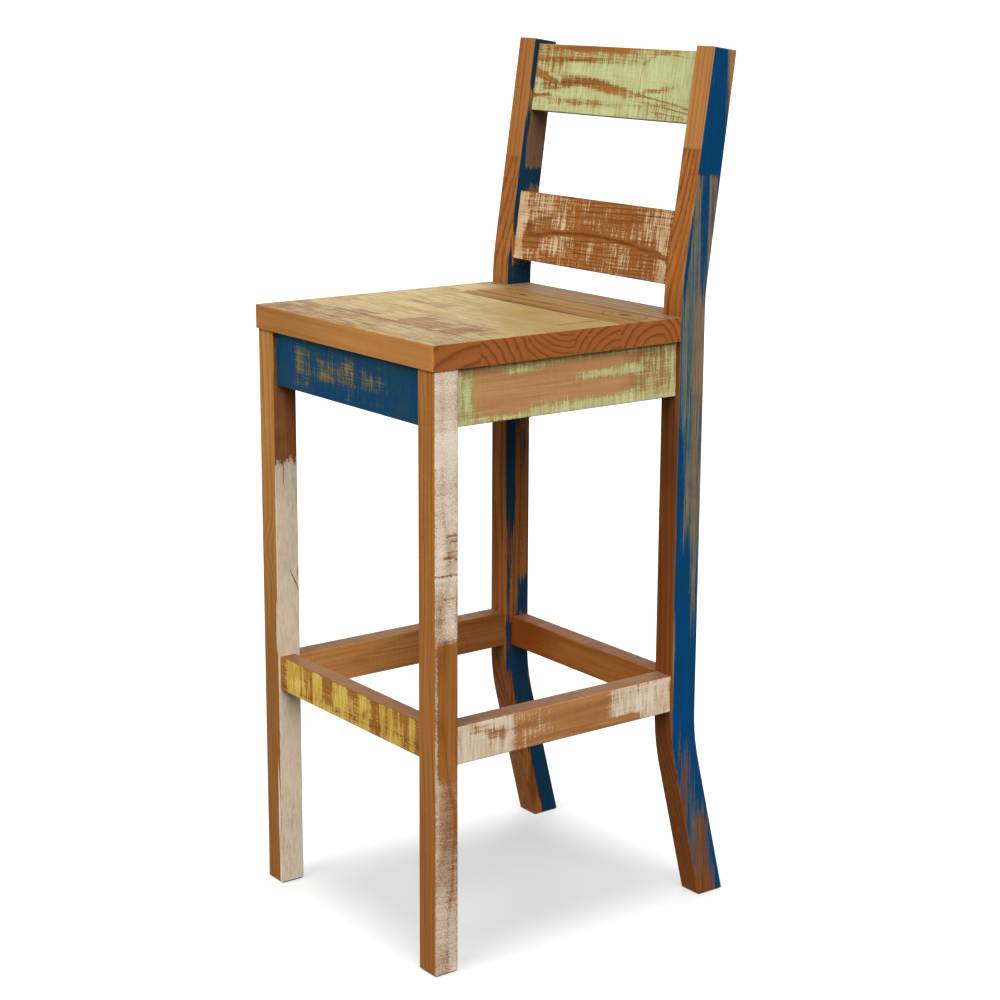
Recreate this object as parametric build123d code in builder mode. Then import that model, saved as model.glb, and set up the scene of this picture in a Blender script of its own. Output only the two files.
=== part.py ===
from build123d import *
import os
from math import cos, radians, sin, sqrt, tan

# Bar stool in reclaimed wood: two straight front legs, two bent rear posts that run up into the back,
# aprons and stretchers dowelled between them, two back slats and a seat of glued boards.
# Millimetres, +Z up, the front towards -Y, origin on the floor under the middle of the stool.

# Overall sizes
frame_width = 389.0  # outside of the left legs to outside of the right legs
post_setback = 369.0  # front of the front legs to front of the rear posts
seat_height = 775.0  # floor to the top of the seat
total_height = 1100.0  # floor to the top of the posts

# Front legs
leg_width = 34.0
leg_depth = 34.0
leg_edge = 2.0  # eased long edges
foot_bevel = 3.0  # bevel round the soles of all four feet

# Rear posts
post_width = 34.0
post_depth = 40.5
post_top_depth = 36.5  # the post gets thinner towards its top
post_edge = 2.0
rake_angle = 8.5  # backward lean above the seat, in degrees
kick_angle = 14.0  # backward lean of the foot, in degrees
bend_radius = 280.0  # rear face of the post at both bends
bend_margin = 4.0  # straight length kept above the seat and under the lower rails

# Seat
seat_thickness = 30.0
seat_front_overhang = 3.0
seat_side_overhang = 2.0
seat_back_reach = 36.0  # how far the seat runs back between the posts
seat_board_1_width = 67.0  # front board, the others follow towards the back
seat_board_2_width = 68.0
seat_board_3_width = 70.0
seat_board_4_width = 71.0
seat_board_5_width = 67.0  # the sixth board takes the rest
seat_corner = 3.0  # rounding of the two front corners
seat_edge = 0.8  # eased top edges, also along the seams
post_notch_gap = 1.5  # clearance of the seat round the posts

# Aprons under the seat
apron_height = 70.0
apron_thickness = 20.0
front_apron_recess = 6.0  # behind the front faces of the legs
side_apron_recess = 7.0  # inside the outer faces of the legs
rear_apron_recess = 10.0  # behind the front faces of the posts

# Stretchers, the front one is the footrest
front_stretcher_top = 316.5
front_stretcher_height = 45.0
front_stretcher_thickness = 24.0
front_stretcher_recess = 3.5
side_stretcher_top = 313.0
side_stretcher_height = 48.0
side_stretcher_thickness = 28.0
side_stretcher_recess = 3.0
rear_stretcher_top = 307.0
rear_stretcher_height = 42.0
rear_stretcher_thickness = 26.0
rear_stretcher_recess = 11.0
rail_edge = 1.5  # eased long edges of aprons, stretchers and slats

# Back slats, measured along the raked posts between their tops and the seat
upper_slat_drop = 6.0  # top of the posts to the upper slat
upper_slat_height = 88.0
lower_gap_share = 0.23  # part of the open height of the back that lies under the lower slat
lower_slat_height = 91.0
slat_thickness = 22.0
slat_recess = 8.0  # behind the front faces of the posts

# Dowels
dowel_diameter = 8.0
dowel_clearance = 0.1  # on the diameter
dowel_end_gap = 1.0  # glue room at the bottom of each hole
dowel_bevel = 0.8
dowel_grip = 18.0  # length of a dowel in each of the two pieces it joins
dowel_web = 3.0  # wood left between dowels that cross in a leg or post
apron_dowel_spread = 36.0  # between the two dowels of one joint
stretcher_dowel_spread = 22.0
slat_dowel_spread = 46.0
seat_dowel_spread = 120.0  # between neighbouring dowels of one seam
seat_dowel_count = 3  # dowels in each seam
seat_dowel_grip = 14.0

# Corner blocks and screws
block_width = 24.0
block_height = 40.0
block_leg_gap = 4.0  # clearance between a block and the leg or post it goes round
screw_diameter = 4.0
screw_head_diameter = 8.0
screw_head_height = 3.0
screw_clearance = 0.2  # on the diameter of shank and head
screw_end_gap = 0.5
block_screw_web = 8.0  # wood of the block under the head of an apron screw
block_screw_grip = 12.0  # length of an apron screw in the apron
seat_screw_web = 18.0  # wood of the block under the head of a seat screw
seat_screw_grip = 18.0  # length of a seat screw in the seat

# Places that follow from the sizes
half_width = frame_width / 2
frame_top = seat_height - seat_thickness
apron_middle = frame_top - apron_height / 2
front_stretcher_middle = front_stretcher_top - front_stretcher_height / 2
side_stretcher_middle = side_stretcher_top - side_stretcher_height / 2
rear_stretcher_middle = rear_stretcher_top - rear_stretcher_height / 2
rake = radians(rake_angle)
kick = radians(kick_angle)
front_radius = bend_radius + post_depth
side_stretcher_bottom = side_stretcher_top - side_stretcher_height
rear_stretcher_bottom = rear_stretcher_top - rear_stretcher_height
lower_rail_bottom = min(side_stretcher_bottom, rear_stretcher_bottom)
knee_height = lower_rail_bottom - bend_margin - front_radius * tan(kick / 2)
bend_height = seat_height + bend_margin + front_radius * tan(rake / 2)
foot_front_reach = post_setback + knee_height * tan(kick)
foot_rear_reach = foot_front_reach + post_depth / cos(kick)
top_front_reach = post_setback + (total_height - bend_height) * tan(rake)
top_rear_reach = top_front_reach + post_top_depth * cos(rake)
front_y = (seat_front_overhang - max(foot_rear_reach, top_rear_reach)) / 2
post_y = front_y + post_setback
leg_back_y = front_y + leg_depth
seat_front_y = front_y - seat_front_overhang
seat_back_y = post_y + seat_back_reach
front_apron_y = front_y + front_apron_recess + apron_thickness / 2
rear_apron_y = post_y + rear_apron_recess + apron_thickness / 2
front_stretcher_y = front_y + front_stretcher_recess + front_stretcher_thickness / 2
rear_stretcher_y = post_y + rear_stretcher_recess + rear_stretcher_thickness / 2
side_apron_x = half_width - side_apron_recess - apron_thickness / 2
side_stretcher_x = half_width - side_stretcher_recess - side_stretcher_thickness / 2
leg_inner_x = half_width - leg_width
post_inner_x = half_width - post_width
dowel_radius = dowel_diameter / 2
dowel_hole_radius = dowel_radius + dowel_clearance / 2
dowel_hole_depth = dowel_grip + dowel_end_gap
seat_dowel_hole_depth = seat_dowel_grip + dowel_end_gap
screw_hole_radius = (screw_diameter + screw_clearance) / 2
screw_bore_radius = (screw_head_diameter + screw_clearance) / 2

# Side rail dowels stop short of the dowels that cross them in the legs and posts
front_crossing = leg_back_y - max(front_apron_y, front_stretcher_y)
rear_crossing = min(rear_apron_y, rear_stretcher_y) - post_y
side_dowel_grip = min(front_crossing, rear_crossing) - dowel_radius - dowel_web
side_dowel_hole_depth = side_dowel_grip + dowel_end_gap

# The back slats lie in a plane that leans with the posts, local y runs down the slope
slope_plane = Plane(
    origin=(0, front_y + top_front_reach, total_height),
    x_dir=(1, 0, 0),
    z_dir=(0, cos(rake), -sin(rake)),
)
slope_length = (total_height - seat_height - (slat_recess + slat_thickness) * sin(rake)) / cos(rake)
open_height = slope_length - upper_slat_drop - upper_slat_height - lower_slat_height
slat_gap = open_height * (1 - lower_gap_share)
upper_slat_middle = upper_slat_drop + upper_slat_height / 2
lower_slat_middle = upper_slat_drop + upper_slat_height + slat_gap + lower_slat_height / 2
slat_centre_depth = slat_recess + slat_thickness / 2


def pair(middle, spread):
    return [middle - spread / 2, middle + spread / 2]


def slope_point(along):
    point = slope_plane.from_local_coords((0, along, slat_centre_depth))
    return (point.Y, point.Z)


# Dowel centres as (y, z) for joints along X, and as (x, z) for joints along Y
front_apron_joints = [(front_apron_y, z) for z in pair(apron_middle, apron_dowel_spread)]
rear_apron_joints = [(rear_apron_y, z) for z in pair(apron_middle, apron_dowel_spread)]
side_apron_heights = pair(apron_middle, apron_dowel_spread)
front_stretcher_joints = [(front_stretcher_y, z) for z in pair(front_stretcher_middle, stretcher_dowel_spread)]
rear_stretcher_joints = [(rear_stretcher_y, z) for z in pair(rear_stretcher_middle, stretcher_dowel_spread)]
side_stretcher_heights = pair(side_stretcher_middle, stretcher_dowel_spread)
upper_slat_joints = [slope_point(s) for s in pair(upper_slat_middle, slat_dowel_spread)]
lower_slat_joints = [slope_point(s) for s in pair(lower_slat_middle, slat_dowel_spread)]
slat_joints = upper_slat_joints + lower_slat_joints


def side_joints(side):
    joints = [(side * side_apron_x, z) for z in side_apron_heights]
    return joints + [(side * side_stretcher_x, z) for z in side_stretcher_heights]


# Straight front leg, side is -1 on the left and 1 on the right
def front_leg(side):
    with BuildPart() as leg:
        with BuildSketch():
            with Locations((side * (half_width - leg_width / 2), front_y + leg_depth / 2)):
                Rectangle(leg_width, leg_depth)
        extrude(amount=frame_top)
        chamfer(leg.edges().group_by(Axis.Z)[0], foot_bevel)
        fillet(leg.edges().filter_by(Axis.Z), leg_edge)
        with BuildSketch(Plane.YZ.offset(side * leg_inner_x)):
            with Locations(*front_apron_joints, *front_stretcher_joints):
                Circle(dowel_hole_radius)
        extrude(amount=side * dowel_hole_depth, mode=Mode.SUBTRACT)
        with BuildSketch(Plane.XZ.offset(-leg_back_y)):
            with Locations(*side_joints(side)):
                Circle(dowel_hole_radius)
        extrude(amount=side_dowel_hole_depth, mode=Mode.SUBTRACT)
    return leg


# Rear post, bent back above the seat and again under the lower rails
def rear_post(side):
    post_back_y = post_y + post_depth
    foot_front = (front_y + foot_front_reach, 0)
    knee_front = (post_y, knee_height)
    bend_front = (post_y, bend_height)
    top_front = (front_y + top_front_reach, total_height)
    top_back = (front_y + top_rear_reach, total_height - post_top_depth * sin(rake))
    bend_back = (post_back_y, bend_height - post_depth * tan(rake / 2))
    knee_back = (post_back_y, knee_height + post_depth * tan(kick / 2))
    foot_back = (front_y + foot_rear_reach, 0)
    first_x = min(side * half_width, side * post_inner_x)
    with BuildPart() as post:
        with BuildSketch(Plane.YZ.offset(first_x)):
            with BuildLine():
                FilletPolyline(foot_front, knee_front, bend_front, top_front, radius=front_radius)
                Line(top_front, top_back)
                FilletPolyline(top_back, bend_back, knee_back, foot_back, radius=bend_radius)
                Line(foot_back, foot_front)
            make_face()
        extrude(amount=post_width)
        chamfer(post.edges().group_by(Axis.Z)[0], foot_bevel)
        outline = post.faces().filter_by(Axis.X).edges()
        fillet(outline.filter_by(lambda edge: edge.center().Z > foot_bevel * 2), post_edge)
        with BuildSketch(Plane.YZ.offset(side * post_inner_x)):
            with Locations(*rear_apron_joints, *rear_stretcher_joints, *slat_joints):
                Circle(dowel_hole_radius)
        extrude(amount=side * dowel_hole_depth, mode=Mode.SUBTRACT)
        with BuildSketch(Plane.XZ.offset(-post_y)):
            with Locations(*side_joints(side)):
                Circle(dowel_hole_radius)
        extrude(amount=-side_dowel_hole_depth, mode=Mode.SUBTRACT)
    return post


# Rail between the two front legs or the two posts
def cross_rail(centre_y, thickness, bottom, top, inner_x, joints, eased_top):
    with BuildPart() as rail:
        with BuildSketch(Plane.XY.offset(bottom)):
            with Locations((0, centre_y)):
                Rectangle(2 * inner_x, thickness)
        extrude(amount=top - bottom)
        long_edges = rail.edges().filter_by(Axis.X)
        if eased_top:
            fillet(long_edges, rail_edge)
        else:
            fillet(long_edges.group_by(Axis.Z)[0], rail_edge)
        with BuildSketch(Plane.YZ.offset(-inner_x)):
            with Locations(*joints):
                Circle(dowel_hole_radius)
        extrude(amount=dowel_hole_depth, mode=Mode.SUBTRACT)
        with BuildSketch(Plane.YZ.offset(inner_x)):
            with Locations(*joints):
                Circle(dowel_hole_radius)
        extrude(amount=-dowel_hole_depth, mode=Mode.SUBTRACT)
    return rail


# Rail between a front leg and the post behind it
def side_rail(centre_x, thickness, bottom, top, heights, eased_top):
    joints = [(centre_x, z) for z in heights]
    with BuildPart() as rail:
        with BuildSketch(Plane.XY.offset(bottom)):
            with Locations((centre_x, (leg_back_y + post_y) / 2)):
                Rectangle(thickness, post_y - leg_back_y)
        extrude(amount=top - bottom)
        long_edges = rail.edges().filter_by(Axis.Y)
        if eased_top:
            fillet(long_edges, rail_edge)
        else:
            fillet(long_edges.group_by(Axis.Z)[0], rail_edge)
        with BuildSketch(Plane.XZ.offset(-leg_back_y)):
            with Locations(*joints):
                Circle(dowel_hole_radius)
        extrude(amount=-dowel_hole_depth, mode=Mode.SUBTRACT)
        with BuildSketch(Plane.XZ.offset(-post_y)):
            with Locations(*joints):
                Circle(dowel_hole_radius)
        extrude(amount=dowel_hole_depth, mode=Mode.SUBTRACT)
    return rail


# Back slat between the posts
def back_slat(middle, height, joints):
    with BuildPart() as slat:
        with BuildSketch(slope_plane.offset(slat_recess)):
            with Locations((0, middle)):
                Rectangle(2 * post_inner_x, height)
        extrude(amount=slat_thickness)
        fillet(slat.edges().filter_by(Axis.X), rail_edge)
        with BuildSketch(Plane.YZ.offset(-post_inner_x)):
            with Locations(*joints):
                Circle(dowel_hole_radius)
        extrude(amount=dowel_hole_depth, mode=Mode.SUBTRACT)
        with BuildSketch(Plane.YZ.offset(post_inner_x)):
            with Locations(*joints):
                Circle(dowel_hole_radius)
        extrude(amount=-dowel_hole_depth, mode=Mode.SUBTRACT)
    return slat


# Corner block across an apron corner, u runs in from the side apron and v from the front or rear apron
def block_layout(side, end):
    side_face = side * (half_width - side_apron_recess - apron_thickness)
    if end == "front":
        face_y = front_apron_y + apron_thickness / 2
        inward = 1
        corner_u = leg_width - side_apron_recess - apron_thickness
        corner_v = leg_depth - front_apron_recess - apron_thickness
    else:
        face_y = rear_apron_y - apron_thickness / 2
        inward = -1
        corner_u = post_width - side_apron_recess - apron_thickness
        corner_v = rear_apron_recess
    near = corner_u + corner_v + block_leg_gap
    far = near + block_width * sqrt(2)
    return side_face, face_y, inward, near, far


def seat_screw_place(side, end):
    side_face, face_y, inward, near, far = block_layout(side, end)
    reach = (near + far) / 4
    return (side_face - side * reach, face_y + inward * reach)


block_screw_height = frame_top - block_height / 2
corners = [(side, end) for end in ["front", "rear"] for side in [-1, 1]]
seat_screw_places = [seat_screw_place(side, end) for side, end in corners]


def corner_block(side, end):
    side_face, face_y, inward, near, far = block_layout(side, end)
    screw_reach = (near + far) / 2
    outline = [(near, 0), (far, 0), (0, far), (0, near)]
    plan = [(side_face - side * u, face_y + inward * v) for u, v in outline]
    with BuildPart() as block:
        with BuildSketch(Plane.XY.offset(frame_top - block_height)):
            with BuildLine():
                Polyline(*plan, close=True)
            make_face()
        extrude(amount=block_height)
        with BuildSketch(Plane.XZ.offset(-face_y)):
            with Locations((side_face - side * screw_reach, block_screw_height)):
                Circle(screw_hole_radius)
        extrude(amount=-inward * far, mode=Mode.SUBTRACT)
        with BuildSketch(Plane.XZ.offset(-face_y - inward * block_screw_web)):
            with Locations((side_face - side * screw_reach, block_screw_height)):
                Circle(screw_bore_radius)
        extrude(amount=-inward * far, mode=Mode.SUBTRACT)
        with BuildSketch(Plane.YZ.offset(side_face)):
            with Locations((face_y + inward * screw_reach, block_screw_height)):
                Circle(screw_hole_radius)
        extrude(amount=-side * far, mode=Mode.SUBTRACT)
        with BuildSketch(Plane.YZ.offset(side_face - side * block_screw_web)):
            with Locations((face_y + inward * screw_reach, block_screw_height)):
                Circle(screw_bore_radius)
        extrude(amount=-side * far, mode=Mode.SUBTRACT)
        with BuildSketch(Plane.XY.offset(frame_top)):
            with Locations(seat_screw_place(side, end)):
                Circle(screw_hole_radius)
        extrude(amount=-block_height, mode=Mode.SUBTRACT)
        with BuildSketch(Plane.XY.offset(frame_top - seat_screw_web)):
            with Locations(seat_screw_place(side, end)):
                Circle(screw_bore_radius)
        extrude(amount=-block_height, mode=Mode.SUBTRACT)
    return block


# Seat board from one seam to the next, cut round the posts where it meets them
seat_width = frame_width + 2 * seat_side_overhang
board_widths = [seat_board_1_width, seat_board_2_width, seat_board_3_width, seat_board_4_width, seat_board_5_width]
seams = [seat_front_y + sum(board_widths[: count + 1]) for count in range(len(board_widths))]
seat_dowel_height = frame_top + seat_thickness / 2
seat_dowel_row = [(count - (seat_dowel_count - 1) / 2) * seat_dowel_spread for count in range(seat_dowel_count)]
seat_dowel_places = [(x, seat_dowel_height) for x in seat_dowel_row]


def seat_board(start, stop):
    notch_inner = post_inner_x - post_notch_gap
    notch_front = post_y - post_notch_gap
    notch_width = seat_width / 2 - notch_inner
    notch_depth = seat_back_y - notch_front
    with BuildPart() as board:
        with BuildSketch(Plane.XY.offset(frame_top)) as plan:
            with Locations((0, (start + stop) / 2)):
                Rectangle(seat_width, stop - start)
            for side in [-1, 1]:
                with Locations((side * (notch_inner + notch_width / 2), notch_front + notch_depth / 2)):
                    Rectangle(notch_width, notch_depth, mode=Mode.SUBTRACT)
            if start == seat_front_y:
                fillet(plan.vertices().group_by(Axis.Y)[0], seat_corner)
        extrude(amount=seat_thickness)
        fillet(board.faces().sort_by(Axis.Z)[-1].edges(), seat_edge)
        if start in seams:
            with BuildSketch(Plane.XZ.offset(-start)):
                with Locations(*seat_dowel_places):
                    Circle(dowel_hole_radius)
            extrude(amount=-seat_dowel_hole_depth, mode=Mode.SUBTRACT)
        if stop in seams:
            with BuildSketch(Plane.XZ.offset(-stop)):
                with Locations(*seat_dowel_places):
                    Circle(dowel_hole_radius)
            extrude(amount=seat_dowel_hole_depth, mode=Mode.SUBTRACT)
        with BuildSketch(Plane.XY.offset(frame_top)):
            with Locations(*seat_screw_places):
                Circle(screw_hole_radius)
        extrude(amount=seat_screw_grip + screw_end_gap, mode=Mode.SUBTRACT)
    return board


# Apron drilled for the screws of its two corner blocks
def drill_cross_apron(apron, end):
    with BuildPart() as drilled:
        add(apron.part)
        for side in [-1, 1]:
            side_face, face_y, inward, near, far = block_layout(side, end)
            with BuildSketch(Plane.XZ.offset(-face_y)):
                with Locations((side_face - side * (near + far) / 2, block_screw_height)):
                    Circle(screw_hole_radius)
            extrude(amount=inward * (block_screw_grip + screw_end_gap), mode=Mode.SUBTRACT)
    return drilled


def drill_side_apron(apron, side):
    with BuildPart() as drilled:
        add(apron.part)
        for end in ["front", "rear"]:
            side_face, face_y, inward, near, far = block_layout(side, end)
            with BuildSketch(Plane.YZ.offset(side_face)):
                with Locations((face_y + inward * (near + far) / 2, block_screw_height)):
                    Circle(screw_hole_radius)
            extrude(amount=side * (block_screw_grip + screw_end_gap), mode=Mode.SUBTRACT)
    return drilled


# Dowels of the joints along X, as (y, z) centres with the x of the joint face
def cross_dowels(joint_sets):
    with BuildPart() as dowels:
        for face_x, joints in joint_sets:
            with BuildSketch(Plane.YZ.offset(face_x - dowel_grip)):
                with Locations(*joints):
                    Circle(dowel_radius)
            extrude(amount=2 * dowel_grip)
        chamfer(dowels.edges().filter_by(GeomType.CIRCLE), dowel_bevel)
    return dowels


# Dowels of the joints along Y, shorter in the legs and posts than in the rails
def side_dowels(joints):
    with BuildPart() as dowels:
        with BuildSketch(Plane.XZ.offset(side_dowel_grip - leg_back_y)):
            with Locations(*joints):
                Circle(dowel_radius)
        extrude(amount=-(side_dowel_grip + dowel_grip))
        with BuildSketch(Plane.XZ.offset(dowel_grip - post_y)):
            with Locations(*joints):
                Circle(dowel_radius)
        extrude(amount=-(side_dowel_grip + dowel_grip))
        chamfer(dowels.edges().filter_by(GeomType.CIRCLE), dowel_bevel)
    return dowels


save_list = []


def keep(piece, name):
    piece.part.label = name
    save_list.append(piece)


# Legs and posts
keep(front_leg(-1), "front_leg_left")
keep(front_leg(1), "front_leg_right")
keep(rear_post(-1), "rear_post_left")
keep(rear_post(1), "rear_post_right")

# Aprons
apron_bottom = frame_top - apron_height
front_apron = cross_rail(
    front_apron_y, apron_thickness, apron_bottom, frame_top, leg_inner_x, front_apron_joints, False
)
rear_apron = cross_rail(
    rear_apron_y, apron_thickness, apron_bottom, frame_top, post_inner_x, rear_apron_joints, False
)
left_apron = side_rail(-side_apron_x, apron_thickness, apron_bottom, frame_top, side_apron_heights, False)
right_apron = side_rail(side_apron_x, apron_thickness, apron_bottom, frame_top, side_apron_heights, False)
keep(drill_cross_apron(front_apron, "front"), "front_apron")
keep(drill_cross_apron(rear_apron, "rear"), "rear_apron")
keep(drill_side_apron(left_apron, -1), "left_apron")
keep(drill_side_apron(right_apron, 1), "right_apron")

# Stretchers
front_stretcher = cross_rail(
    front_stretcher_y,
    front_stretcher_thickness,
    front_stretcher_top - front_stretcher_height,
    front_stretcher_top,
    leg_inner_x,
    front_stretcher_joints,
    True,
)
rear_stretcher = cross_rail(
    rear_stretcher_y,
    rear_stretcher_thickness,
    rear_stretcher_bottom,
    rear_stretcher_top,
    post_inner_x,
    rear_stretcher_joints,
    True,
)
keep(front_stretcher, "front_stretcher")
keep(rear_stretcher, "rear_stretcher")
for side, name in [(-1, "left_stretcher"), (1, "right_stretcher")]:
    side_stretcher = side_rail(
        side * side_stretcher_x,
        side_stretcher_thickness,
        side_stretcher_bottom,
        side_stretcher_top,
        side_stretcher_heights,
        True,
    )
    keep(side_stretcher, name)

# Back slats
keep(back_slat(upper_slat_middle, upper_slat_height, upper_slat_joints), "upper_back_slat")
keep(back_slat(lower_slat_middle, lower_slat_height, lower_slat_joints), "lower_back_slat")

# Seat boards
board_edges = [seat_front_y] + seams + [seat_back_y]
for number, (start, stop) in enumerate(zip(board_edges, board_edges[1:]), 1):
    keep(seat_board(start, stop), f"seat_board_{number}")

# Corner blocks
for side, end in corners:
    hand = "left" if side < 0 else "right"
    keep(corner_block(side, end), f"corner_block_{end}_{hand}")

# Dowels
keep(
    cross_dowels(
        [
            (-leg_inner_x, front_apron_joints),
            (leg_inner_x, front_apron_joints),
            (-post_inner_x, rear_apron_joints),
            (post_inner_x, rear_apron_joints),
        ]
    ),
    "apron_cross_dowels",
)
keep(
    cross_dowels(
        [
            (-leg_inner_x, front_stretcher_joints),
            (leg_inner_x, front_stretcher_joints),
            (-post_inner_x, rear_stretcher_joints),
            (post_inner_x, rear_stretcher_joints),
        ]
    ),
    "stretcher_cross_dowels",
)
keep(cross_dowels([(-post_inner_x, slat_joints), (post_inner_x, slat_joints)]), "slat_dowels")
apron_side_joints = [(side * side_apron_x, z) for side in [-1, 1] for z in side_apron_heights]
stretcher_side_joints = [(side * side_stretcher_x, z) for side in [-1, 1] for z in side_stretcher_heights]
keep(side_dowels(apron_side_joints), "apron_side_dowels")
keep(side_dowels(stretcher_side_joints), "stretcher_side_dowels")
with BuildPart() as seat_dowels:
    for seam in seams:
        with BuildSketch(Plane.XZ.offset(seat_dowel_grip - seam)):
            with Locations(*seat_dowel_places):
                Circle(dowel_radius)
        extrude(amount=-2 * seat_dowel_grip)
    chamfer(seat_dowels.edges().filter_by(GeomType.CIRCLE), dowel_bevel)
keep(seat_dowels, "seat_board_dowels")

# Screws, each a shank with a flat round head that sits in a bore of the block
screw_radius = screw_diameter / 2
head_radius = screw_head_diameter / 2
with BuildPart() as block_screws:
    for side, end in corners:
        side_face, face_y, inward, near, far = block_layout(side, end)
        screw_reach = (near + far) / 2
        across = (side_face - side * screw_reach, block_screw_height)
        along = (face_y + inward * screw_reach, block_screw_height)
        with BuildSketch(Plane.XZ.offset(-face_y - inward * block_screw_web)):
            with Locations(across):
                Circle(screw_radius)
        extrude(amount=inward * (block_screw_web + block_screw_grip))
        with BuildSketch(Plane.XZ.offset(-face_y - inward * block_screw_web)):
            with Locations(across):
                Circle(head_radius)
        extrude(amount=-inward * screw_head_height)
        with BuildSketch(Plane.YZ.offset(side_face - side * block_screw_web)):
            with Locations(along):
                Circle(screw_radius)
        extrude(amount=side * (block_screw_web + block_screw_grip))
        with BuildSketch(Plane.YZ.offset(side_face - side * block_screw_web)):
            with Locations(along):
                Circle(head_radius)
        extrude(amount=-side * screw_head_height)
keep(block_screws, "corner_block_screws")

with BuildPart() as seat_screws:
    with BuildSketch(Plane.XY.offset(frame_top - seat_screw_web)):
        with Locations(*seat_screw_places):
            Circle(screw_radius)
    extrude(amount=seat_screw_web + seat_screw_grip)
    with BuildSketch(Plane.XY.offset(frame_top - seat_screw_web)):
        with Locations(*seat_screw_places):
            Circle(head_radius)
    extrude(amount=-screw_head_height)
keep(seat_screws, "seat_screws")

os.makedirs("parts", exist_ok=True)
for piece in save_list:
    export_step(piece.part, f"parts/{piece.part.label}.step")
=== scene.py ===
import bpy
import math
from mathutils import Matrix, Vector


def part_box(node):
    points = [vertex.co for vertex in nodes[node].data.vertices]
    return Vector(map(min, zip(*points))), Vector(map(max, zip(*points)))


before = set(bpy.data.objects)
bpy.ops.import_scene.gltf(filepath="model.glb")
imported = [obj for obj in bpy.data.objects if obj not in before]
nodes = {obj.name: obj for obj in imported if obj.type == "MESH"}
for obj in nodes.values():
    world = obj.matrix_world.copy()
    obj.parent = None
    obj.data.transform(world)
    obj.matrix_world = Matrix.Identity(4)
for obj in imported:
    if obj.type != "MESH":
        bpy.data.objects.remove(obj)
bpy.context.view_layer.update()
scene = bpy.context.scene
scene.view_settings.view_transform = "Standard"
print("stool frame loaded,", len(nodes), "wooden and steel nodes")

# the curve that screens use between a written colour and its light
screenCurve = {"toe": 0.04045, "slope": 12.92, "lift": 0.055, "power": 2.4}


# colour written as on a screen, 0 to 255
def tone(red, green, blue):
    light = []
    for value in (red, green, blue):
        share = value / 255
        if share <= screenCurve["toe"]:
            light.append(share / screenCurve["slope"])
        else:
            raised = (share + screenCurve["lift"]) / (1 + screenCurve["lift"])
            light.append(raised ** screenCurve["power"])
    return (*light, 1.0)


# small helpers that wire shader nodes
def plug(tree, socket, value):
    if isinstance(value, bpy.types.NodeSocket):
        tree.links.new(value, socket)
    else:
        socket.default_value = value


def calc(tree, operation, first, second=None, third=None, clamp=False):
    node = tree.nodes.new("ShaderNodeMath")
    node.operation = operation
    node.use_clamp = clamp
    for socket, value in zip(node.inputs, (first, second, third)):
        if value is not None:
            plug(tree, socket, value)
    return node.outputs[0]


# a difference, worked out at once where both sides are plain numbers
def minus(tree, first, second):
    if isinstance(first, float) and isinstance(second, float):
        return first - second
    return calc(tree, "SUBTRACT", first, second)


def vecCalc(tree, operation, first, second=None, third=None):
    node = tree.nodes.new("ShaderNodeVectorMath")
    node.operation = operation
    for socket, value in zip(node.inputs, (first, second, third)):
        if value is not None:
            plug(tree, socket, value)
    return node.outputs["Value" if operation == "LENGTH" else "Vector"]


def smooth(tree, value, low, high, bottom=0.0, top=1.0):
    node = tree.nodes.new("ShaderNodeMapRange")
    node.interpolation_type = "SMOOTHSTEP"
    for socket, number in zip(node.inputs, (value, low, high, bottom, top)):
        plug(tree, socket, number)
    return node.outputs[0]


def join(tree, first, second, third=0.0):
    node = tree.nodes.new("ShaderNodeCombineXYZ")
    for socket, value in zip(node.inputs, (first, second, third)):
        plug(tree, socket, value)
    return node.outputs[0]


def apart(tree, vector):
    node = tree.nodes.new("ShaderNodeSeparateXYZ")
    plug(tree, node.inputs[0], vector)
    return node.outputs


# a colour mix has its colour sockets behind those for numbers and vectors
colorSockets = {"share": 0, "first": 6, "second": 7, "mixed": 2}


def blendColor(tree, share, first, second):
    node = tree.nodes.new("ShaderNodeMix")
    node.data_type = "RGBA"
    for name, value in (("share", share), ("first", first), ("second", second)):
        plug(tree, node.inputs[colorSockets[name]], value)
    return node.outputs[colorSockets["mixed"]]


def noiseField(tree, vector, stretch, shift, detail=2.0, roughness=0.55, color=False):
    node = tree.nodes.new("ShaderNodeTexNoise")
    plug(tree, node.inputs["Vector"], vecCalc(tree, "MULTIPLY_ADD", vector, stretch, shift))
    node.inputs["Scale"].default_value = 1.0
    node.inputs["Detail"].default_value = detail
    node.inputs["Roughness"].default_value = roughness
    return node.outputs["Color" if color else "Fac"]


def curve(tree, value, stops):
    node = tree.nodes.new("ShaderNodeValToRGB")
    ramp = node.color_ramp
    while len(ramp.elements) < len(stops):
        ramp.elements.new(0.5)
    for element, (place, level) in zip(ramp.elements, stops):
        element.position = place
        element.color = (level, level, level, 1.0)
    plug(tree, node.inputs[0], value)
    return node.outputs[0]


def newFinish(name):
    material = bpy.data.materials.new(name)
    material.use_nodes = True
    return material, material.node_tree


def putOn(name, material):
    for slot in nodes[name].material_slots:
        slot.material = material


# the posts bend and the slats lean with them, so their paint is laid out from the front face; in metres
postShape = {
    "bend": 0.8028, "rake": math.tan(math.radians(8.5)), "knee": 0.2217, "kick": math.tan(math.radians(14.0)),
    "depth": 0.0405, "newWood": 0.03, "slatThick": 0.022,
}
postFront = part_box("rear_post_right")[0].y
faceSides = {"x": ("y", "z"), "y": ("x", "z"), "z": ("x", "y")}


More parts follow.
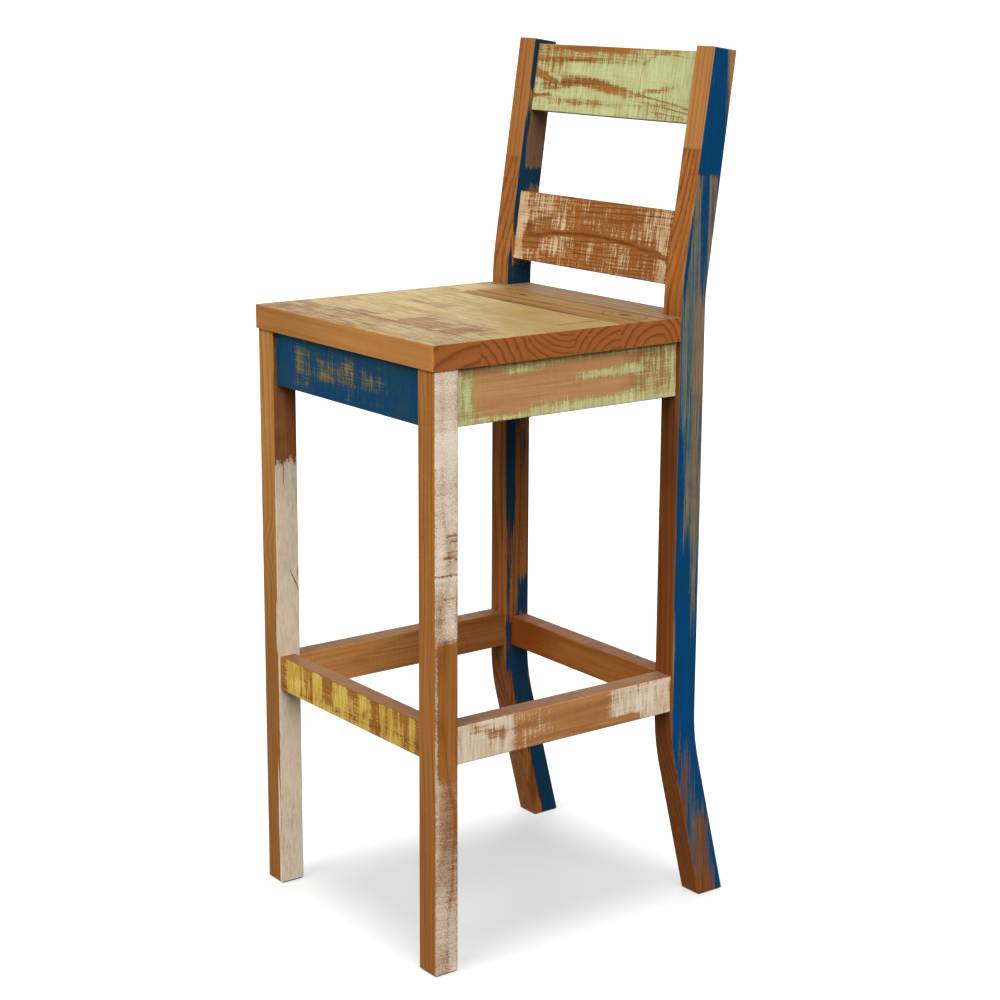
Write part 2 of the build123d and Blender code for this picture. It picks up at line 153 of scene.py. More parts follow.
# where a point lies on its piece: along the grain, across it, through the board, and the way the face looks;
# above its splice a post is another length of wood, sawn along the rake
def pieceSpace(tree, node, along, shape, splice):
    source = tree.nodes.new("ShaderNodeTexCoord")
    place = dict(zip("xyz", apart(tree, source.outputs["Object"])))
    looks = dict(zip("xyz", apart(tree, source.outputs["Normal"])))
    low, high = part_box(node)
    span = {axis: (getattr(low, axis), getattr(high, axis)) for axis in "xyz"}
    upright = dict(place)
    sawn = dict(place)
    if shape == "post":
        up = calc(tree, "MAXIMUM", calc(tree, "SUBTRACT", place["z"], postShape["bend"]), 0.0)
        down = calc(tree, "MAXIMUM", calc(tree, "SUBTRACT", postShape["knee"], place["z"]), 0.0)
        back = calc(tree, "MULTIPLY_ADD", up, -postShape["rake"], place["y"])
        place["y"] = calc(tree, "MULTIPLY_ADD", down, -postShape["kick"], back)
        span["y"] = (postFront, postFront + postShape["depth"])
        above = calc(tree, "GREATER_THAN", place["z"], splice)
        turned = calc(tree, "ADD", calc(tree, "SUBTRACT", place["y"], sawn["y"]), postShape["newWood"])
        sawn["y"] = calc(tree, "MULTIPLY_ADD", above, turned, sawn["y"])
    elif shape == "slat":
        middle = sum(span["z"]) / 2
        lift = calc(tree, "SUBTRACT", place["z"], middle)
        place["y"] = calc(tree, "MULTIPLY_ADD", lift, -postShape["rake"], place["y"])
        centre = sum(span["y"]) / 2
        span["y"] = (centre - postShape["slatThick"] / 2, centre + postShape["slatThick"] / 2)
        sawn = dict(place)
    others = [axis for axis in "xyz" if axis != along]
    widths = {axis: span[axis][1] - span[axis][0] for axis in others}
    across, thick = sorted(others, key=lambda axis: -widths[axis])
    middles = {axis: sum(span[axis]) / 2 for axis in "xyz"}
    spot = {"place": place, "upright": upright, "looks": looks, "span": span, "along": along}
    spot["l"] = calc(tree, "SUBTRACT", sawn[along], middles[along])
    spot["c"] = calc(tree, "SUBTRACT", sawn[across], middles[across])
    spot["t"] = calc(tree, "SUBTRACT", sawn[thick], middles[thick])
    spot["grain"] = join(tree, spot["l"], spot["c"], spot["t"])
    spot["run"] = calc(tree, "MULTIPLY_ADD", spot["l"], 1 / (span[along][1] - span[along][0]), 0.5)
    return spot


# what a board's own wood settings change: the heart beside the board, rings in metres, colours
plainWood = {
    "heart": (0.01, -0.06), "lean": 0.012, "sway": 0.016, "ring": 0.008,
    "contrast": 0.5, "fine": 0.8, "saw": 0.3,
    "light": tone(168, 112, 54), "dark": tone(106, 58, 20), "amber": tone(146, 86, 34),
    "endLight": tone(160, 96, 48), "endDark": tone(106, 54, 22),
    "knots": (), "knotTone": tone(78, 44, 22), "paintedShadeAndToneBands": (), "darkBandTone": tone(96, 42, 10),
}

# how all wood grows: noise per metre along, across and through the board, with limits and weights
growth = {
    "seedSteps": (1.7, 3.1, 5.3), "wander": (3.2, 10.0, 10.0),
    "wobble": (10.0, 70.0, 70.0), "wobbleShare": 0.5,
    "year": ((0.0, 0.3), (0.16, 0.0), (0.6, 0.22), (0.88, 1.0), (1.0, 0.3)),
    "knotLong": 0.45, "knotReach": (0.1, 1.6), "knotPull": 2.6, "knotEye": (0.15, 0.5), "knotDark": 0.85,
    "fibre": (14.0, 640.0, 640.0), "streak": (5.0, 190.0, 190.0), "fineRough": 0.6, "streakShare": 1.3,
    "saw": (330.0, 60.0, 60.0), "darken": 0.08,
    "drift": (5.0, 24.0, 24.0), "driftLimits": (0.4, 0.7), "driftShare": 0.55, "bandFirm": 0.4,
    "pores": (300.0, 520.0, 520.0), "endLimits": (0.55, 0.85), "endRing": 0.8, "endPore": 0.5,
    "endBase": -0.2, "ringHeight": 0.3, "fibreHeight": 0.6,
}


# solid wood: growth rings round a heart that lies beside the board, fibres, saw marks, knots, and bands along
# the length tinted darker or lighter, some of them painted shade
def bareWood(tree, spot, wood, seed):
    grain = spot["grain"]
    shift = tuple(seed * step for step in growth["seedSteps"])
    wander = noiseField(tree, grain, growth["wander"], shift)
    sway = calc(tree, "MULTIPLY_ADD", wander, wood["sway"], -wood["sway"] / 2)
    heartLine = calc(tree, "MULTIPLY_ADD", spot["l"], wood["lean"], wood["heart"][0])
    acrossHeart = calc(tree, "ADD", calc(tree, "SUBTRACT", spot["c"], heartLine), sway)
    thickHeart = calc(tree, "ADD", calc(tree, "SUBTRACT", spot["t"], wood["heart"][1]), sway)
    reach = vecCalc(tree, "LENGTH", join(tree, acrossHeart, thickHeart))
    wobble = noiseField(tree, grain, growth["wobble"], shift)
    uneven = calc(tree, "MULTIPLY", wobble, growth["wobbleShare"])
    phase = calc(tree, "MULTIPLY_ADD", reach, 1 / wood["ring"], uneven)
    core = None
    for runKnot, acrossKnot, size in wood["knots"]:
        local = vecCalc(tree, "SUBTRACT", grain, (runKnot, acrossKnot, 0.0))
        local = vecCalc(tree, "MULTIPLY", local, (growth["knotLong"] / size, 1 / size, 0.0))
        far = vecCalc(tree, "LENGTH", local)
        pulled = smooth(tree, far, *growth["knotReach"], 1.0, 0.0)
        phase = calc(tree, "MULTIPLY_ADD", pulled, growth["knotPull"], phase)
        knot = smooth(tree, far, *growth["knotEye"], growth["knotDark"], 0.0)
        core = knot if core is None else calc(tree, "MAXIMUM", core, knot)
    ring = curve(tree, calc(tree, "FRACT", phase), growth["year"])
    fibre = noiseField(tree, grain, growth["fibre"], shift, roughness=growth["fineRough"])
    streak = noiseField(tree, grain, growth["streak"], shift, roughness=growth["fineRough"])
    sawn = noiseField(tree, grain, growth["saw"], shift, detail=1.0)
    drift = noiseField(tree, grain, growth["drift"], shift)
    depth = calc(tree, "MULTIPLY", ring, wood["contrast"])
    weights = (wood["fine"], wood["fine"] * growth["streakShare"], wood["saw"])
    for field, weight in zip((fibre, streak, sawn), weights):
        base = calc(tree, "ADD", depth, growth["darken"] - weight / 2)
        depth = calc(tree, "MULTIPLY_ADD", field, weight, base)
    color = blendColor(tree, calc(tree, "ADD", depth, 0.0, clamp=True), wood["light"], wood["dark"])
    stained = smooth(tree, drift, *growth["driftLimits"], 0.0, growth["driftShare"])
    color = blendColor(tree, stained, color, wood["amber"])
    if core is not None:
        color = blendColor(tree, core, color, wood["knotTone"])
    for middle, half, amount, *own in wood["paintedShadeAndToneBands"]:
        shade, firm = own or (wood["darkBandTone"], growth["bandFirm"])
        off = calc(tree, "ABSOLUTE", calc(tree, "SUBTRACT", spot["run"], middle))
        color = blendColor(tree, smooth(tree, off, half * firm, half, amount, 0.0), color, shade)
    ends = calc(tree, "ABSOLUTE", spot["looks"][spot["along"]])
    pores = noiseField(tree, grain, growth["pores"], shift, detail=1.0)
    porous = calc(tree, "MULTIPLY_ADD", pores, growth["endPore"], growth["endBase"])
    endDepth = calc(tree, "MULTIPLY_ADD", ring, growth["endRing"], porous, clamp=True)
    endShade = blendColor(tree, endDepth, wood["endLight"], wood["endDark"])
    color = blendColor(tree, smooth(tree, ends, *growth["endLimits"]), color, endShade)
    fluff = calc(tree, "MULTIPLY", fibre, growth["fibreHeight"])
    height = calc(tree, "MULTIPLY_ADD", ring, growth["ringHeight"], fluff)
    return {"color": color, "height": height, "ring": ring, "fibre": fibre}


# a place on a face where a coat is thicker or thinner: place and size as shares of the face,
# level from about 0, bare, to 1, whole
def patch(u, v, wide, tall, level, soft=0.5, slope=0.0, bend=0.0, lean=0.0, rounded=False):
    return {
        "u": u, "v": v, "wide": wide, "tall": tall, "level": level,
        "soft": soft, "slope": slope, "bend": bend, "lean": lean, "rounded": rounded,
    }


def patchShare(tree, uv, one):
    wide, tall = one["wide"], one["tall"]
    if one["slope"] or one["bend"] or one["lean"]:
        u, v, _ = apart(tree, uv)
        runU = calc(tree, "SUBTRACT", u, one["u"])
        runV = calc(tree, "SUBTRACT", v, one["v"])
        tilt = calc(tree, "MULTIPLY_ADD", runU, one["bend"], one["slope"])
        rise = calc(tree, "MULTIPLY", runU, tilt)
        offV = calc(tree, "DIVIDE", calc(tree, "SUBTRACT", runV, rise), tall)
        offU = calc(tree, "DIVIDE", calc(tree, "MULTIPLY_ADD", runV, -one["lean"], runU), wide)
        local = join(tree, offU, offV)
    else:
        start = (-one["u"] / wide, -one["v"] / tall, 0.0)
        local = vecCalc(tree, "MULTIPLY_ADD", uv, (1 / wide, 1 / tall, 0.0), start)
    if one["rounded"]:
        far = vecCalc(tree, "LENGTH", local)
    else:
        offU, offV, _ = apart(tree, vecCalc(tree, "ABSOLUTE", local))
        far = calc(tree, "MAXIMUM", offU, offV)
    return smooth(tree, far, 1.0 - one["soft"], 1.0 + one["soft"], 1.0, 0.0)


# brush and wear marks per metre on a face, with their weight
levelStrokes = {
    "rag": (150.0, 150.0),
    "marks": [(420.0, 34.0, 0.48), (24.0, 460.0, 0.38), (620.0, 620.0, 0.36), (150.0, 16.0, 0.34)],
}
uprightStrokes = {
    "rag": (150.0, 150.0),
    "marks": [(34.0, 420.0, 0.5), (460.0, 24.0, 0.3), (620.0, 620.0, 0.32), (16.0, 150.0, 0.32)],
}
boardStrokes = {
    "rag": (150.0, 150.0),
    "marks": [(26.0, 520.0, 0.6), (420.0, 34.0, 0.36), (620.0, 620.0, 0.4), (16.0, 150.0, 0.34)],
}
fineStrokes = {
    "rag": (220.0, 220.0),
    "marks": [(320.0, 900.0, 0.3), (820.0, 820.0, 0.72), (16.0, 150.0, 0.22)],
}
frayStrokes = {
    "rag": (240.0, 70.0),
    "marks": [(620.0, 70.0, 0.46), (900.0, 320.0, 0.44), (160.0, 24.0, 0.22)],
}
grainStrokes = {
    "rag": (160.0, 14.0),
    "marks": [(420.0, 6.0, 0.55), (700.0, 14.0, 0.35), (120.0, 7.0, 0.42), (620.0, 300.0, 0.16)],
}

# what a coat has unless it says otherwise
plainCoat = {
    "rag": 0.006, "edgeWear": 0.4, "bite": 3.0, "ringPull": 0.2, "soft": 0.12, "thin": 0.2,
    "area": {}, "patches": (),
}

# how all coats wear: faces that take paint, rubbed edges in metres, mixing of the two paints
wearing = {
    "seedSteps": (2.3, 4.1, 1.9), "facing": (0.66, 0.9), "ragDetail": 3.0, "ragRough": 0.65,
    "edgeWidth": 0.003, "start": 0.5, "markRough": 0.6, "ringBase": 0.3,
    "tint": (26.0, 26.0, 1.0), "tintDetail": 3.0, "tintShare": 0.7, "markShare": 0.8,
    "mixLimits": (0.58, 0.94), "thinFade": 0.4, "border": 2.6, "brushHeight": 0.6, "coatHeight": 0.5,
}


# one coat of old paint on one face, worn off by brushing, rubbing and grain
def wornCoat(tree, spot, layers, settings):
    coat = {**plainCoat, **settings}
    side, axis = coat["face"]
    lookWay = spot["looks"][axis]
    if side == "-":
        lookWay = calc(tree, "MULTIPLY", lookWay, -1.0)
    facing = smooth(tree, lookWay, *wearing["facing"])
    uAxis, vAxis = faceSides[axis]
    area = {**spot["span"], **coat["area"]}
    metric = join(tree, spot["place"][uAxis], spot["place"][vAxis])
    marked = join(tree, spot["upright"][uAxis], spot["upright"][vAxis])
    shift = tuple(coat["seed"] * step for step in wearing["seedSteps"])
    rag, strokes = coat["rag"], coat["strokes"]
    torn = {"detail": wearing["ragDetail"], "roughness": wearing["ragRough"], "color": True}
    ragged = noiseField(tree, marked, (*strokes["rag"], 1.0), shift, **torn)
    wander = vecCalc(tree, "MULTIPLY_ADD", ragged, (rag, rag, 0.0), (-rag / 2, -rag / 2, 0.0))
    moved = vecCalc(tree, "ADD", metric, wander)
    spans = [area[name][1] - area[name][0] for name in (uAxis, vAxis)]
    start = [-area[name][0] / width for name, width in zip((uAxis, vAxis), spans)]
    uv = vecCalc(tree, "MULTIPLY_ADD", moved, (1 / spans[0], 1 / spans[1], 0.0), (*start, 0.0))
    cover = coat["cover"]
    for one in coat["patches"]:
        inside = patchShare(tree, uv, one)
        cover = calc(tree, "MULTIPLY_ADD", inside, minus(tree, one["level"], cover), cover)
    # paint rubs off first along the edges of the face
    middle = [sum(area[name]) / 2 for name in (uAxis, vAxis)]
    fromMiddle = vecCalc(tree, "ABSOLUTE", vecCalc(tree, "SUBTRACT", moved, (*middle, 0.0)))
    halves = (spans[0] / 2, spans[1] / 2, 0.0)
    insetU, insetV, _ = apart(tree, vecCalc(tree, "SUBTRACT", halves, fromMiddle))
    inset = calc(tree, "MINIMUM", insetU, insetV)
    rubbed = smooth(tree, inset, 0.0, wearing["edgeWidth"], coat["edgeWear"], 0.0)
    cover = calc(tree, "SUBTRACT", cover, rubbed)
    wear = wearing["start"]
    fields = []
    for runU, runV, weight in strokes["marks"]:
        field = noiseField(tree, marked, (runU, runV, 1.0), shift, roughness=wearing["markRough"])
        fields.append(field)
        pull = weight * coat["bite"]
        wear = calc(tree, "MULTIPLY_ADD", field, pull, minus(tree, wear, pull / 2))
    base = calc(tree, "SUBTRACT", wear, coat["ringPull"] * wearing["ringBase"])
    wear = calc(tree, "MULTIPLY_ADD", layers["ring"], coat["ringPull"], base)
    left = calc(tree, "SUBTRACT", cover, wear)
    soft = coat["soft"]
    kept = calc(tree, "MULTIPLY", smooth(tree, left, -soft, soft), facing)
    tint = noiseField(tree, metric, wearing["tint"], shift, wearing["tintDetail"], wearing["markRough"])
    tinted = calc(tree, "MULTIPLY", tint, wearing["tintShare"])
    mixed = calc(tree, "MULTIPLY_ADD", fields[0], wearing["markShare"], tinted)
    paint = blendColor(tree, smooth(tree, mixed, *wearing["mixLimits"]), coat["paint"], coat["paintTwo"])
    thin = smooth(tree, left, soft, soft + wearing["thinFade"], coat["thin"], 0.0)
    paint = blendColor(tree, thin, paint, layers["color"])
    color = blendColor(tree, kept, layers["color"], paint)
    if "edgeTone" in coat:
        fade = calc(tree, "MULTIPLY_ADD", kept, -wearing["border"], wearing["border"])
        color = blendColor(tree, calc(tree, "MULTIPLY", kept, fade), color, coat["edgeTone"])
    brush = calc(tree, "MULTIPLY_ADD", fields[0], wearing["brushHeight"], wearing["coatHeight"])
    height = calc(tree, "MULTIPLY_ADD", kept, brush, layers["height"])
    return {**layers, "color": color, "height": height}


# matt, dry surface: bump depth in metres, roughness that follows the fibres
surface = {"bump": 0.5, "bumpDepth": 0.0006, "rough": 0.42, "roughFibre": 0.24, "specular": 0.04}


def dressPiece(piece):
    material, tree = newFinish(piece["node"] + "_finish")
    tree.nodes.clear()
    spot = pieceSpace(tree, piece["node"], piece["along"], piece.get("shape"), piece.get("splice"))
    layers = bareWood(tree, spot, {**plainWood, **piece["wood"]}, piece["seed"])
    for coat in piece["coats"]:
        layers = wornCoat(tree, spot, layers, coat)
    bump = tree.nodes.new("ShaderNodeBump")
    bump.inputs["Strength"].default_value = surface["bump"]
    bump.inputs["Distance"].default_value = surface["bumpDepth"]
    plug(tree, bump.inputs["Height"], layers["height"])
    shader = tree.nodes.new("ShaderNodeBsdfPrincipled")
    plug(tree, shader.inputs["Base Color"], layers["color"])
    rough = calc(tree, "MULTIPLY_ADD", layers["fibre"], surface["roughFibre"], surface["rough"])
    plug(tree, shader.inputs["Roughness"], rough)
    shader.inputs["Specular IOR Level"].default_value = surface["specular"]
    plug(tree, shader.inputs["Normal"], bump.outputs[0])
    output = tree.nodes.new("ShaderNodeOutputMaterial")
    plug(tree, output.inputs[0], shader.outputs[0])
    putOn(piece["node"], material)


# paints that come back on several pieces
creamPaint = {"paint": tone(222, 206, 184), "paintTwo": tone(204, 180, 150)}
bluePaint = {"paint": tone(2, 62, 104), "paintTwo": tone(8, 56, 76)}
greenPaint = {"paint": tone(200, 202, 146), "paintTwo": tone(182, 180, 124)}
yellowPaint = {"paint": tone(208, 180, 92), "paintTwo": tone(188, 148, 60)}
# greyish brown on the tops of the stretchers: wear from feet and a painted sheen
treadWearAndSheenTop = {
    "face": "+z", "paint": tone(130, 100, 80), "paintTwo": tone(116, 82, 56), "cover": 0.8, "soft": 0.3,
}

# front legs: bare fronts, worn cream on the faces that look right
legLeft = {
    "node": "front_leg_left", "along": "z", "seed": 1.0,
    "wood": {
        "heart": (0.02, -0.045), "ring": 0.008, "lean": 0.035, "sway": 0.022, "contrast": 0.42,
        "knots": [(0.085, -0.004, 0.016)], "light": tone(184, 132, 70), "dark": tone(126, 76, 32),
        # darker towards the bottom of the leg
        "amber": tone(160, 104, 48), "darkBandTone": tone(106, 60, 22), "paintedShadeAndToneBands": [(0.0, 0.8, 0.6)],
    },
    "coats": [
        # dark brown at the top of the inner face, next to the apron: old paint and painted shade under the
        # seat
        {
            "face": "+x", "seed": 1.1, "paint": tone(134, 88, 50), "paintTwo": tone(112, 68, 36),
            "cover": -0.5, "strokes": grainStrokes, "patches": [patch(0.5, 0.92, 2.0, 0.2, 1.2, 0.2)],
        },
        {
            "face": "+x", "seed": 1.2, "paint": tone(220, 202, 180), "paintTwo": tone(204, 184, 158),
            "cover": 1.3, "strokes": frayStrokes, "soft": 0.2, "patches": [
                patch(0.5, 0.92, 2.0, 0.146, -0.5, 0.22),
                patch(0.5, 0.7, 0.4, 0.03, 1.1),
                patch(0.3, 0.08, 0.3, 0.08, 0.95),
            ],
        },
        {
            "face": "+x", "seed": 1.3, "paint": tone(86, 58, 38), "paintTwo": tone(70, 46, 30), "cover": -0.6,
            "strokes": grainStrokes, "rag": 0.002, "edgeWear": 0.0,
            "patches": [
                patch(0.8, 0.558, 0.2, 0.0022, 1.2, 0.5, slope=-0.1),
                patch(0.96, 0.575, 0.06, 0.012, 0.5, 0.7),
                patch(0.38, 0.762, 0.02, 0.032, 1.1, 0.7),
            ],
        },
        {
            "face": "-y", "seed": 1.5, **creamPaint, "cover": -0.5, "strokes": grainStrokes, "edgeWear": 0.0,
            "patches": [patch(0.98, 0.1, 0.14, 0.12, 0.8), patch(0.98, 0.48, 0.08, 0.06, 0.65)],
        },
        {
            "face": "-x", "seed": 1.7, **bluePaint, "cover": 0.05, "strokes": grainStrokes,
            "patches": [patch(0.4, 0.72, 0.7, 0.2, 1.0), patch(0.6, 0.2, 0.5, 0.1, 0.6)],
        },
    ],
}
legRight = {
    "node": "front_leg_right", "along": "z", "seed": 2.0,
    "wood": {
        "heart": (-0.03, -0.06), "ring": 0.0085, "lean": -0.04, "sway": 0.026, "contrast": 0.46,
        "light": tone(172, 115, 58), "dark": tone(114, 65, 26), "amber": tone(150, 94, 43),
        # darker towards the bottom of the leg, and a little darker through the middle
        "darkBandTone": tone(106, 60, 22), "paintedShadeAndToneBands": [(0.42, 0.4, 0.1), (0.0, 0.4, 0.35)],
    },
    "coats": [
        {
            "face": "+x", "seed": 2.2, "paint": tone(232, 219, 200), "paintTwo": tone(218, 200, 176),
            "cover": 1.06, "strokes": fineStrokes, "soft": 0.3, "bite": 2.7, "thin": 0.4, "patches": [
                patch(0.5, 0.1, 0.8, 0.12, 0.78, 0.6),
                patch(0.35, 0.02, 0.3, 0.03, 0.6),
                patch(0.7, 0.29, 0.55, 0.12, 0.2, 0.8),
                patch(0.55, 0.455, 0.9, 0.115, -0.4, 0.12),
                patch(0.8, 0.165, 0.25, 0.04, 0.45, 0.7),
                patch(0.05, 0.43, 0.08, 0.15, 0.72, 0.6),
                patch(0.4, 0.61, 0.8, 0.045, 0.9, 0.4),
                patch(0.5, 0.88, 0.8, 0.03, 1.3, 0.6),
                patch(0.6, 0.8, 0.6, 0.035, 0.9, 0.8),
                patch(0.5, 0.93, 0.7, 0.02, 0.95, 0.8),
                patch(0.76, 0.715, 0.28, 0.035, 0.68, 0.7),
                patch(0.76, 0.737, 0.2, 0.0018, 0.1, 0.6),
                patch(0.84, 0.729, 0.16, 0.0016, 0.2, 0.6),
                patch(0.72, 0.711, 0.2, 0.0016, 0.2, 0.6),
                patch(0.6, 0.703, 0.22, 0.0018, 0.1, 0.6),
                patch(0.9, 0.699, 0.1, 0.0018, 0.1, 0.6),
                patch(0.5, 0.674, 0.7, 0.0016, 0.3, 0.6),
                patch(0.55, 0.636, 0.6, 0.0014, 0.4, 0.6),
                patch(0.2, 0.605, 0.14, 0.026, 0.5, 0.7),
                patch(0.95, 0.62, 0.06, 0.03, 0.5, 0.6),
            ],
        },
    ],
}
for leg in (legLeft, legRight):
    dressPiece(leg)
print("front legs dressed")

# rear posts: bare fronts, blue on the faces that look right; some patches follow the rake
alongRake = -4.06
postLeft = {
    "node": "rear_post_left", "along": "z", "shape": "post", "splice": 0.944, "seed": 3.0,
    "wood": {
        "heart": (0.035, -0.025), "ring": 0.006, "lean": 0.01, "contrast": 0.66, "light": tone(164, 106, 52),
        "dark": tone(98, 52, 20), "amber": tone(140, 82, 34),
        # painted shade on the post below the seat; a darker band low down; a lighter top on the spliced
        # length
        "paintedShadeAndToneBands": [(0.25, 0.45, 0.14), (0.2, 0.09, 0.4), (1.0, 0.142, 0.15, tone(196, 142, 86), 0.98)],
    },
    "coats": [
        {
            "face": "+x", "seed": 3.2, "paint": tone(112, 82, 56), "paintTwo": tone(84, 78, 70),
            "cover": -0.5, "strokes": grainStrokes, "soft": 0.4,
            "patches": [patch(0.5, 0.86, 0.9, 0.1, 1.0, 0.5)],
        },
        {
            "face": "+x", "seed": 3.3, "paint": tone(10, 52, 84), "paintTwo": tone(20, 44, 56), "cover": 0.2,
            "strokes": grainStrokes, "edgeTone": tone(44, 52, 46), "thin": 0.0, "patches": [
                patch(0.7, 0.1, 0.42, 0.14, 1.15, 0.5),
                patch(0.1, 0.05, 0.26, 0.09, -0.1, 0.5),
                patch(0.5, 0.24, 0.5, 0.03, 0.95, 0.5),
                patch(0.8, 0.305, 0.26, 0.022, 1.0, 0.6),
                patch(0.86, 0.44, 0.12, 0.014, 0.9, 0.6),
                patch(0.12, 0.37, 0.1, 0.1, 0.5, 0.5),
                patch(0.2, 0.47, 0.28, 0.07, 1.2, 0.4),
                patch(0.7, 0.47, 0.3, 0.06, 0.2),
                patch(0.5, 0.72, 0.9, 0.025, 0.95, 0.3),
                patch(0.6, 0.738, 0.4, 0.01, 0.3, 0.6),
                patch(0.6, 0.868, 0.6, 0.026, -0.1, 0.5),
                patch(0.05, 0.86, 0.16, 0.06, 1.1, 0.5),
                patch(0.6, 0.832, 0.5, 0.012, 1.2, 0.6),
                patch(0.7, 0.805, 0.4, 0.018, 0.0, 0.6, lean=alongRake),
                patch(0.2, 0.795, 0.3, 0.03, 1.2, 0.5, lean=alongRake),
                patch(0.4, 0.97, 0.7, 0.03, 1.2, 0.4),
            ],
        },
        {
            "face": "-x", "seed": 3.6, **greenPaint, "cover": 0.1, "strokes": grainStrokes,
            "patches": [patch(0.5, 0.82, 0.7, 0.12, 0.8), patch(0.4, 0.4, 0.6, 0.16, 0.6)],
        },
    ],
}
postRight = {
    "node": "rear_post_right", "along": "z", "shape": "post", "splice": 0.977, "seed": 4.0,
    "wood": {
        "heart": (0.03, -0.03), "ring": 0.006, "lean": 0.01, "contrast": 0.68, "light": tone(172, 110, 54),
        # painted shade on the post below the seat, deepest just beneath it; a lighter top on the spliced
        # length
        "dark": tone(104, 54, 18), "amber": tone(148, 88, 38), "paintedShadeAndToneBands": [
            (0.25, 0.45, 0.66), (0.6, 0.14, 0.45, tone(52, 22, 4), 0.4),
            (1.0, 0.112, 0.3, tone(200, 150, 92), 0.98),
        ],
    },
    "coats": [
        {
            "face": "+x", "seed": 4.2, "paint": tone(138, 112, 82), "paintTwo": tone(106, 94, 76),
            "cover": 0.3, "strokes": grainStrokes, "soft": 0.25,
            "patches": [patch(0.65, 0.62, 0.8, 0.3, 1.15), patch(0.5, 0.05, 0.9, 0.14, -0.3, 0.5)],
        },
        {
            "face": "+x", "seed": 4.3, "paint": tone(54, 88, 94), "paintTwo": tone(108, 116, 104),
            "cover": -0.5, "strokes": grainStrokes, "soft": 0.35, "thin": 0.3, "patches": [
                patch(0.24, 0.63, 0.34, 0.13, 1.0, 0.7),
                patch(0.8, 0.43, 0.3, 0.07, 0.72, 0.8),
                patch(0.3, 0.78, 0.18, 0.08, 0.8, 0.8, lean=alongRake),
                patch(0.4, 0.08, 0.4, 0.08, 0.35, 0.7, lean=5.0),
            ],
        },
        {
            "face": "+x", "seed": 4.4, "paint": tone(2, 64, 112), "paintTwo": tone(6, 60, 92), "cover": 1.25,
            "strokes": grainStrokes, "edgeTone": tone(56, 84, 92), "thin": 0.0, "soft": 0.28, "bite": 3.4,
            "patches": [
                patch(0.84, 0.42, 0.24, 0.08, 0.4, 0.6, lean=-1.2),
                patch(0.7, 0.56, 0.46, 0.11, 0.12, 0.45, lean=-0.8),
                patch(0.54, 0.67, 0.6, 0.09, 0.1, 0.4),
                patch(0.56, 0.79, 0.62, 0.076, 0.2, 0.16),
                patch(0.58, 0.8, 0.13, 0.08, 0.95, 0.6, lean=alongRake),
                patch(0.02, 0.78, 0.12, 0.07, 0.9, 0.6),
                patch(0.5, 0.908, 0.9, 0.046, 1.4, 0.1),
                patch(0.98, 0.975, 0.36, 0.06, 0.1, 0.5, lean=-5.0),
                patch(0.2, 0.04, 0.62, 0.07, -0.1, 0.6),
                patch(0.26, 0.13, 0.3, 0.08, 0.4, 0.7, lean=5.0),
                patch(0.0, 0.25, 0.08, 0.1, 0.5),
            ],
        },
    ],
}
for post in (postLeft, postRight):
    dressPiece(post)
print("rear posts dressed")

# aprons under the seat
apronFront = {
    "node": "front_apron", "along": "x", "seed": 5.0,
    "wood": {
        "light": tone(146, 118, 66), "dark": tone(94, 72, 36), "amber": tone(122, 96, 48), "contrast": 0.3,
    },
    "coats": [
        {
            "face": "-y", "seed": 5.1, "paint": tone(0, 56, 94), "paintTwo": tone(20, 62, 76), "cover": 1.3,
            "strokes": levelStrokes, "soft": 0.34, "thin": 0.0, "edgeTone": tone(62, 78, 66), "patches": [
                patch(0.42, 0.5, 0.32, 0.3, 0.95, 0.6),
                patch(0.18, 0.52, 0.035, 0.3, 0.45, 0.6),
                patch(0.225, 0.6, 0.02, 0.2, 0.65, 0.6),
                patch(0.37, 0.5, 0.055, 0.16, 0.45, 0.6),
                patch(0.445, 0.5, 0.03, 0.14, 0.62, 0.6),
                patch(0.52, 0.58, 0.045, 0.22, 0.38),
                patch(0.66, 0.5, 0.045, 0.14, 0.5, 0.6),
                patch(0.75, 0.52, 0.03, 0.12, 0.72, 0.6),
                patch(0.52, 0.18, 0.025, 0.16, 0.72, 0.6),
                patch(0.18, 0.22, 0.05, 0.1, 0.72, 0.6),
            ],
        },
    ],
}
apronRight = {
    "node": "right_apron", "along": "y", "seed": 6.0,
    "wood": {
        "heart": (0.0, -0.08), "contrast": 0.14, "light": tone(194, 146, 98), "dark": tone(144, 96, 52),
        # darker towards the rear end
        "amber": tone(180, 128, 78), "darkBandTone": tone(108, 60, 22), "paintedShadeAndToneBands": [(0.92, 0.2, 0.5)],
    },
    "coats": [
        {
            "face": "+x", "seed": 6.2, **greenPaint, "cover": 1.05, "strokes": levelStrokes,
            "soft": 0.3, "rag": 0.01, "edgeTone": tone(164, 140, 84), "patches": [
                patch(0.36, 0.55, 0.32, 0.34, -0.2, 0.55),
                patch(0.2, 0.45, 0.16, 0.34, -0.1, 0.6, rounded=True),
                patch(0.04, 0.5, 0.04, 0.4, 0.7, 0.7),
                patch(0.76, 0.8, 0.16, 0.1, 0.05, 0.6),
                patch(0.72, 0.38, 0.2, 0.13, 0.0, 0.6),
                patch(0.74, 0.6, 0.2, 0.06, 0.95, 0.6),
                patch(0.9, 0.55, 0.08, 0.36, 0.42),
                patch(0.28, 0.85, 0.1, 0.1, 0.62, 0.6),
            ],
        },
    ],
}
